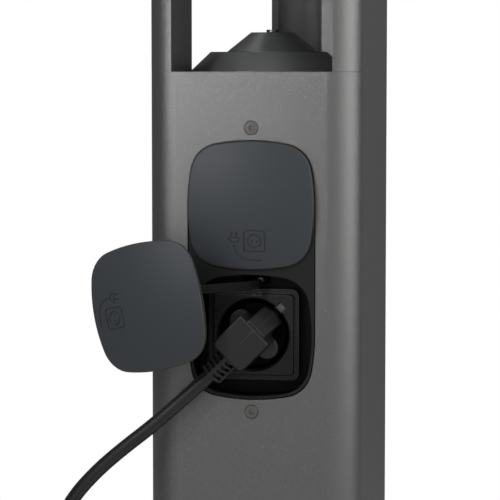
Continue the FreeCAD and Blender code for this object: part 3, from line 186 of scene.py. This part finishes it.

# finishes, one entry for each material slot
# the edge colours are partly wear and partly painted highlight; the deep colours are painted shade in
# the recesses
finishes = {
    "powder_coat": {"color": (0.2, 0.2, 0.198), "wearAndPaintedLight": (0.25, 0.25, 0.25), "metallic": 0.85,
                    "rough": 0.32, "grain": 1700, "softness": 0.6, "bump": 0.00014, "flecks": 0.1,
                    "fleckColor": (0.36, 0.36, 0.355), "edge": 0.0008, "edgeGain": 1.5, "blotch": 9,
                    "blotchAmount": 0.05},
    "reflector_coat": {"color": (0.17, 0.173, 0.177), "wearAndPaintedLight": (0.21, 0.21, 0.215), "metallic": 0.6,
                       "rough": 0.38, "grain": 1800, "softness": 0.4, "bump": 0.00003, "flecks": 0.03,
                       "fleckColor": (0.22, 0.22, 0.23), "edge": 0.0006, "edgeGain": 1.2, "blotch": 15,
                       "blotchAmount": 0.08},
    "galvanised_steel": {"color": (0.42, 0.43, 0.44), "wearAndPaintedLight": (0.6, 0.6, 0.6), "metallic": 0.9,
                         "rough": 0.45, "grain": 260, "softness": 0.9, "bump": 0.00005, "flecks": 0.25,
                         "fleckColor": (0.55, 0.56, 0.57), "edge": 0.0008, "edgeGain": 2, "blotch": 30,
                         "blotchAmount": 0.3},
    "stainless": {"color": (0.17, 0.167, 0.16), "wearAndPaintedLight": (0.3, 0.295, 0.285), "metallic": 1.0,
                  "rough": 0.34, "grain": 2600, "softness": 0.3, "bump": 0.00002, "flecks": 0.04,
                  "fleckColor": (0.2, 0.195, 0.19), "edge": 0.0003, "edgeGain": 2, "blotch": 200,
                  "blotchAmount": 0.25},
    "fascia_plastic": {"color": (0.014, 0.0145, 0.0155), "wearAndPaintedLight": (0.04, 0.041, 0.043), "metallic": 0.0,
                       "rough": 0.5, "grain": 1700, "softness": 0.5, "bump": 0.00005, "flecks": 0.04,
                       "fleckColor": (0.03, 0.03, 0.032), "edge": 0.0005, "edgeGain": 2, "blotch": 25,
                       "blotchAmount": 0.12, "specular": 0.25, "deep": (0.012, 0.012, 0.012),
                       "deepStart": -0.0695},
    # socket frame: its light edge colour is a painted highlight on the rounded edges, its deep colour
    # painted shade in the recess
    "socket_plastic": {"color": (0.006, 0.006, 0.0065), "wearAndPaintedLight": (0.13, 0.13, 0.132), "metallic": 0.0,
                       "rough": 0.4, "grain": 1100, "softness": 0.7, "bump": 0.00016, "flecks": 0.2,
                       "fleckColor": (0.06, 0.06, 0.062), "edge": 0.0009, "edgeGain": 3.5,
                       "blotch": 40, "blotchAmount": 0.12, "specular": 0.4,
                       "deep": (0.006, 0.006, 0.006), "deepStart": -0.0615},
    "cap_rubber": {"color": (0.043, 0.049, 0.056), "wearAndPaintedLight": (0.06, 0.067, 0.075), "metallic": 0.0,
                   "rough": 0.5, "grain": 2400, "softness": 0.4, "bump": 0.00002, "flecks": 0.02,
                   "fleckColor": (0.075, 0.083, 0.09), "edge": 0.0006, "edgeGain": 1.5, "blotch": 22,
                   "blotchAmount": 0.16, "sheen": 0.12, "sheenRough": 0.4, "specular": 0.4,
                   "flank": (0.006, 0.006, 0.007)},
    "seal_rubber": {"color": (0.006, 0.0065, 0.007), "wearAndPaintedLight": (0.04, 0.041, 0.043), "metallic": 0.0,
                    "rough": 0.6, "grain": 1900, "softness": 0.4, "bump": 0.00003, "flecks": 0.03,
                    "fleckColor": (0.02, 0.021, 0.022), "edge": 0.0004, "edgeGain": 2, "blotch": 60,
                    "blotchAmount": 0.15, "specular": 0.08},
    "plated_metal": {"color": (0.16, 0.15, 0.14), "wearAndPaintedLight": (0.4, 0.39, 0.37), "metallic": 1.0,
                     "rough": 0.28, "grain": 2200, "softness": 0.3, "bump": 0.00002, "flecks": 0.03,
                     "fleckColor": (0.12, 0.115, 0.11), "edge": 0.0003, "edgeGain": 2, "blotch": 120,
                     "blotchAmount": 0.2},
    "brass": {"color": (0.62, 0.44, 0.17), "wearAndPaintedLight": (0.8, 0.62, 0.3), "metallic": 1.0, "rough": 0.33,
              "grain": 2200, "softness": 0.3, "bump": 0.00002, "flecks": 0.03,
              "fleckColor": (0.4, 0.28, 0.1), "edge": 0.0003, "edgeGain": 2, "blotch": 120,
              "blotchAmount": 0.25},
    # plug: its light edge colour is a painted highlight along the grip, its deep colour painted shade on
    # the disc inside the socket
    "plug_rubber": {"color": (0.009, 0.009, 0.0105), "wearAndPaintedLight": (0.14, 0.14, 0.142), "metallic": 0.0,
                    "rough": 0.4, "grain": 1300, "softness": 0.6, "bump": 0.00006, "flecks": 0.04,
                    "fleckColor": (0.03, 0.03, 0.033), "edge": 0.0005, "edgeGain": 2, "blotch": 50,
                    "blotchAmount": 0.14, "specular": 0.5, "deep": (0.005, 0.005, 0.005),
                    "deepStart": -0.064},
    "carrier_plastic": {"color": (0.042, 0.039, 0.034), "wearAndPaintedLight": (0.065, 0.06, 0.054), "metallic": 0.0,
                        "rough": 0.5, "grain": 1500, "softness": 0.5, "bump": 0.00004, "flecks": 0.03,
                        "fleckColor": (0.075, 0.07, 0.062), "edge": 0.0005, "edgeGain": 1.5,
                        "blotch": 60, "blotchAmount": 0.14},
    "lead_sheath": {"color": (0.011, 0.011, 0.012), "wearAndPaintedLight": (0.03, 0.03, 0.032), "metallic": 0.0,
                    "rough": 0.36, "grain": 1500, "softness": 0.4, "bump": 0.00002, "flecks": 0.03,
                    "fleckColor": (0.025, 0.025, 0.027), "edge": 0.0003, "edgeGain": 1, "blotch": 35,
                    "blotchAmount": 0.16},
    "bare_aluminium": {"color": (0.6, 0.61, 0.62), "wearAndPaintedLight": (0.8, 0.8, 0.8), "metallic": 1.0,
                       "rough": 0.38, "grain": 900, "softness": 0.4, "bump": 0.00003, "flecks": 0.05,
                       "fleckColor": (0.5, 0.5, 0.51), "edge": 0.0004, "edgeGain": 2, "blotch": 40,
                       "blotchAmount": 0.2},
    "board": {"color": (0.75, 0.77, 0.75), "wearAndPaintedLight": (0.6, 0.5, 0.3), "metallic": 0.0, "rough": 0.45,
              "grain": 1400, "softness": 0.3, "bump": 0.00002, "flecks": 0.03,
              "fleckColor": (0.6, 0.62, 0.6), "edge": 0.0002, "edgeGain": 1, "blotch": 60,
              "blotchAmount": 0.1},
    "led": {"color": (0.85, 0.68, 0.22), "wearAndPaintedLight": (0.9, 0.85, 0.7), "metallic": 0.0, "rough": 0.25,
            "grain": 2600, "softness": 0.5, "bump": 0.00002, "flecks": 0.1,
            "fleckColor": (0.95, 0.8, 0.3), "edge": 0.0003, "edgeGain": 3, "blotch": 300,
            "blotchAmount": 0.15},
    "driver_case": {"color": (0.62, 0.62, 0.6), "wearAndPaintedLight": (0.75, 0.75, 0.73), "metallic": 0.0,
                    "rough": 0.5, "grain": 1200, "softness": 0.4, "bump": 0.00004, "flecks": 0.03,
                    "fleckColor": (0.5, 0.5, 0.48), "edge": 0.0006, "edgeGain": 1, "blotch": 30,
                    "blotchAmount": 0.12},
}


def useGroup(sheet, tree, **values):
    node = sheet.tree.nodes.new("ShaderNodeGroup")
    node.node_tree = tree
    for label, value in values.items():
        node.inputs[label].default_value = value
    return node.outputs


def mixColor(sheet, amount, first, second):
    node = sheet.add("Mix", data_type="RGBA")
    colors = [socket for socket in node.inputs if socket.type == "RGBA"]
    for socket, value in zip(colors, (first, second)):
        if isinstance(value, tuple):
            socket.default_value = (*value, 1)
        else:
            sheet.wire(value, socket)
    sheet.wire(amount, node.inputs[0])
    return [socket for socket in node.outputs if socket.type == "RGBA"][0]


fleckGloss = 0.12  # how much smoother a fleck is than the finish round it


# solid finish: grain, flecks, uneven tone, rounded edges lightened by wear and painted highlight,
# painted shade deep in recesses
def makeFinish(name, look):
    material = bpy.data.materials.new(name)
    material.use_nodes = True
    sheet = Sheet(material.node_tree)
    shader = sheet.tree.nodes["Principled BSDF"]
    grain = useGroup(sheet, grainGroup, Scale=look["grain"], Softness=look["softness"],
                     Flecks=look["flecks"])
    blotch = useGroup(sheet, blotchGroup, Scale=look["blotch"], Contrast=look["blotchAmount"])
    edge = useGroup(sheet, edgeGroup, Radius=look["edge"], Gain=look["edgeGain"])

    base = mixColor(sheet, grain["Fleck"], look["color"], look["fleckColor"])
    # edges take the edge colour: wear, and a painted highlight on the black socket and plug plastics
    wearAndPaintedLight = mixColor(sheet, edge["Mask"], base, look["wearAndPaintedLight"])
    if "flank" in look:
        facing = useGroup(sheet, facingGroup)
        wearAndPaintedLight = mixColor(sheet, facing["Mask"], look["flank"], wearAndPaintedLight)
    # painted shade: faces deeper in the recess take the dark colour and turn metallic, which takes away
    # their diffuse light
    if "deep" in look:
        recessShade = useGroup(sheet, recessShadeGroup, Start=look["deepStart"])
        wearAndPaintedLight = mixColor(sheet, recessShade["Mask"], wearAndPaintedLight, look["deep"])
        sheet.wire(recessShade["Mask"], shader.inputs["Metallic"])
    tone = sheet.calc("ADD", blotch["Value"], 1)
    scaled = sheet.add("VectorMath", operation="SCALE")
    sheet.wire(wearAndPaintedLight, scaled.inputs[0])
    sheet.wire(tone, scaled.inputs["Scale"])
    sheet.wire(scaled.outputs[0], shader.inputs["Base Color"])

    rough = sheet.calc("ADD", blotch["Value"], look["rough"])
    rough = sheet.calc("SUBTRACT", rough, sheet.calc("MULTIPLY", grain["Fleck"], fleckGloss), clamp=True)
    sheet.wire(rough, shader.inputs["Roughness"])
    bump = sheet.add("Bump", {"Strength": 1, "Distance": look["bump"]})
    sheet.wire(grain["Height"], bump.inputs["Height"])
    sheet.wire(edge["Normal"], bump.inputs["Normal"])
    sheet.wire(bump.outputs["Normal"], shader.inputs["Normal"])
    shader.inputs["Metallic"].default_value = look["metallic"]
    if "specular" in look:
        shader.inputs["Specular IOR Level"].default_value = look["specular"]
    if "sheen" in look:
        shader.inputs["Sheen Weight"].default_value = look["sheen"]
        shader.inputs["Sheen Roughness"].default_value = look["sheenRough"]
    material.diffuse_color = (*look["color"], 1)
    return material


lensLook = {"color": (0.92, 0.94, 0.94), "rough": 0.35, "bump": 0.00003, "grain": 1600, "softness": 0.5,
            "flecks": 0.1, "blotch": 40, "blotchAmount": 0.1, "clear": 0.85, "ior": 1.49}


# frosted cover of the lamp
def makeLens(look):
    material = bpy.data.materials.new("lens")
    material.use_nodes = True
    sheet = Sheet(material.node_tree)
    shader = sheet.tree.nodes["Principled BSDF"]
    grain = useGroup(sheet, grainGroup, Scale=look["grain"], Softness=look["softness"],
                     Flecks=look["flecks"])
    blotch = useGroup(sheet, blotchGroup, Scale=look["blotch"], Contrast=look["blotchAmount"])
    sheet.wire(sheet.calc("ADD", blotch["Value"], look["rough"]), shader.inputs["Roughness"])
    bump = sheet.add("Bump", {"Strength": 1, "Distance": look["bump"]})
    sheet.wire(grain["Height"], bump.inputs["Height"])
    sheet.wire(bump.outputs["Normal"], shader.inputs["Normal"])
    shader.inputs["Base Color"].default_value = (*look["color"], 1)
    shader.inputs["Transmission Weight"].default_value = look["clear"]
    shader.inputs["IOR"].default_value = look["ior"]
    return material


materials = {name: makeFinish(name, look) for name, look in finishes.items()}
materials["lens"] = makeLens(lensLook)
for part in record["subparts"]:
    piece = nodes[part["node"]]
    piece.data.materials.clear()
    piece.data.materials.append(materials[part["material_slot"]])
print("finishes made:", len(materials))


# finish, slot and body of a piece made here
def dress(piece, slotName, body):
    piece.data.materials.append(materials[slotName])
    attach(piece, body)
    return piece


# the lead: out of the plug, down to the ground, a neat coil, then its far connector
lead = {"diameter": 0.008, "length": 1.8, "ringCentre": (-172, -42), "outer": 45, "inner": 37,
        "low": 4.2, "high": 12.0, "turns": 4.5, "perTurn": 16,
        "exit": (-0.02065, -0.081, 0.59035)}
leadRoute = [(-20.65, -81, 590.35), (-31, -81.4, 580.9), (-42, -82, 570.9), (-56, -83.4, 558.7),
             (-72, -84.8, 546.2), (-87, -86.4, 533), (-101, -88.2, 517), (-112, -90, 494),
             (-119, -91.5, 462), (-122.5, -92, 418), (-124, -91.5, 362), (-124.5, -90.5, 302),
             (-124.5, -89.5, 242), (-124, -88.5, 182), (-124.2, -87.6, 128), (-126.5, -87.3, 82),
             (-133, -87.1, 42), (-150, -87.4, 14), (-171, -87, 5.5)]
tailRoute = [(-180, 3, 11.8), (-169, 3.2, 11.6), (-159, 6, 10.8), (-150, 9.3, 10.2),
             (-141.5, 11.3, 10), (-134, 12, 10)]


# four and a half turns, seen from above clockwise, two side by side and two on top
def coilPoints(setup):
    cx, cy = setup["ringCentre"]
    stages = [(0, setup["outer"], setup["low"]), (0.9, setup["outer"], setup["low"]),
              (1.15, setup["inner"], setup["low"]), (2.0, setup["inner"], setup["low"]),
              (2.25, setup["inner"], setup["high"]), (3.1, setup["inner"], setup["high"]),
              (3.35, setup["outer"], setup["high"]), (setup["turns"], setup["outer"], setup["high"])]
    count = int(setup["turns"] * setup["perTurn"])
    points = []
    for step in range(1, count):
        turn = setup["turns"] * step / count
        before = max(stage for stage in stages if stage[0] <= turn)
        after = min(stage for stage in stages if stage[0] > turn)
        part = (turn - before[0]) / (after[0] - before[0])
        part = part * part * (3 - 2 * part)
        radius = before[1] + (after[1] - before[1]) * part
        height = before[2] + (after[2] - before[2]) * part
        angle = math.radians(-90) - 2 * math.pi * turn
        points.append((cx + radius * math.cos(angle), cy + radius * math.sin(angle), height))
    return points


def nurbsLine(name, points, radius):
    curve = bpy.data.curves.new(name, "CURVE")
    curve.dimensions = "3D"
    spline = curve.splines.new("NURBS")
    spline.points.add(len(points) - 1)
    for knot, (x, y, z) in zip(spline.points, points):
        knot.co = (x / 1000, y / 1000, z / 1000, 1)
    spline.order_u = 3
    spline.use_endpoint_u = True
    spline.resolution_u = 8
    curve.bevel_depth = radius
    curve.bevel_resolution = 6
    curve.use_fill_caps = True
    return link(bpy.data.objects.new(name, curve))


leadPiece = nurbsLine("lead", leadRoute + coilPoints(lead) + tailRoute, lead["diameter"] / 2)
dress(leadPiece, "lead_sheath", "plug")
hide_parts("lead_cord", "lead_coil", "lead_tail")
print("lead laid")

# floor and light: a dim surround, one broad box in front and narrow ones at the sides
studio = {"floor": 4.4, "floorTone": 0.82, "floorRough": 0.9, "sky": 1.0, "ambient": 0.12}
boxes = {
    "frontBox": {"place": (-0.35, -2.6, 0.65), "aim": (0, 0, 0.65), "width": 2.4, "height": 2.2,
                 "power": 7.8},
    "leftBox": {"place": (-0.2, -0.38, 0.86), "aim": (-0.05, -0.07, 0.78), "width": 0.06,
                "height": 0.25, "power": 0.66},
    "rightBox": {"place": (0.7, -0.13, 0.95), "aim": (0.05, -0.05, 0.75), "width": 0.6, "height": 0.8,
                 "power": 3.6},
    "topBox": {"place": (0, 0.2, 3.2), "aim": (0, 0, 0), "width": 2.4, "height": 2.4, "power": 38},
    "cornerBox": {"place": (0.56, -0.72, 0.8), "aim": (0.05, -0.05, 0.7), "width": 0.3, "height": 0.9,
                  "power": 0.9},
}


def makeStudio(setup):
    bm = bmesh.new()
    bmesh.ops.create_grid(bm, x_segments=2, y_segments=2, size=setup["floor"] / 2)
    mesh = bpy.data.meshes.new("floor")
    bm.to_mesh(mesh)
    bm.free()
    floor = link(bpy.data.objects.new("floor", mesh))
    paper = bpy.data.materials.new("paper")
    paper.use_nodes = True
    shader = paper.node_tree.nodes["Principled BSDF"]
    tone = setup["floorTone"]
    shader.inputs["Base Color"].default_value = (tone, tone, tone, 1)
    shader.inputs["Roughness"].default_value = setup["floorRough"]
    floor.data.materials.append(paper)

    world = bpy.data.worlds.new("studio")
    bpy.context.scene.world = world
    world.use_nodes = True
    sheet = Sheet(world.node_tree)
    background = sheet.tree.nodes["Background"]
    path = sheet.add("LightPath")
    extra = sheet.calc("MULTIPLY", path.outputs["Is Camera Ray"], setup["sky"] - setup["ambient"])
    sheet.wire(sheet.calc("ADD", extra, setup["ambient"]), background.inputs["Strength"])
    background.inputs["Color"].default_value = (1, 1, 1, 1)


def softbox(name, setup):
    light = bpy.data.lights.new(name, "AREA")
    light.shape = "RECTANGLE"
    light.size, light.size_y = setup["width"], setup["height"]
    light.energy = setup["power"]
    lamp = link(bpy.data.objects.new(name, light))
    lamp.location = setup["place"]
    away = Vector(setup["place"]) - Vector(setup["aim"])
    lamp.rotation_euler = away.to_track_quat("Z", "Y").to_euler()
    lamp.visible_camera = False


makeStudio(studio)
for boxName, setup in boxes.items():
    softbox(boxName, setup)
print("studio lit")
